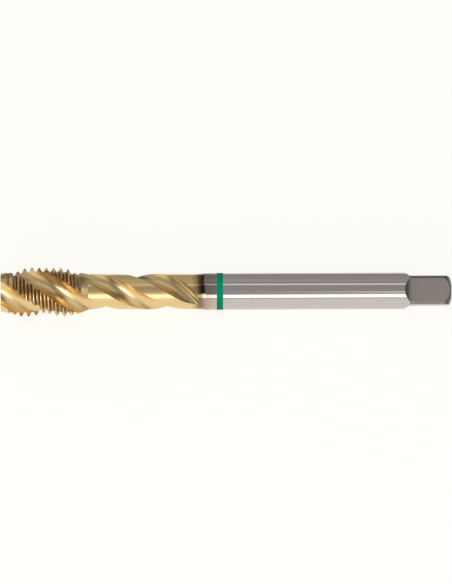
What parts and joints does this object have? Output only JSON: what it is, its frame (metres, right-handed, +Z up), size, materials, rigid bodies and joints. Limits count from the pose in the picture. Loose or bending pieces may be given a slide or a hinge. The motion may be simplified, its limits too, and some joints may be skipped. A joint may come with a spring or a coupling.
{
  "type": "thread tap",
  "caption": "Machine tap with spiral flutes, reduced shank and drive square, for cutting an M12 coarse thread in a drilled hole.",
  "frame": {"origin": "under the middle of the tool's length, on the surface it lies on", "axes": "+X along the tool from its cutting tip to its drive square, +Y to the left of that, +Z up; the tool's own axis dips 0.88 degrees towards +X, as it lies on its thread crests and the end of its thinner shank"},
  "size_m": [0.1101, 0.012, 0.012],
  "materials": {
    "tool_steel": "ground high-speed steel; gold nitride coat on the thread and neck, thin green ring on the shank"
  },
  "bodies": {
    "root": {"thread_tap": "tool_steel"}
  },
  "joints": []
}
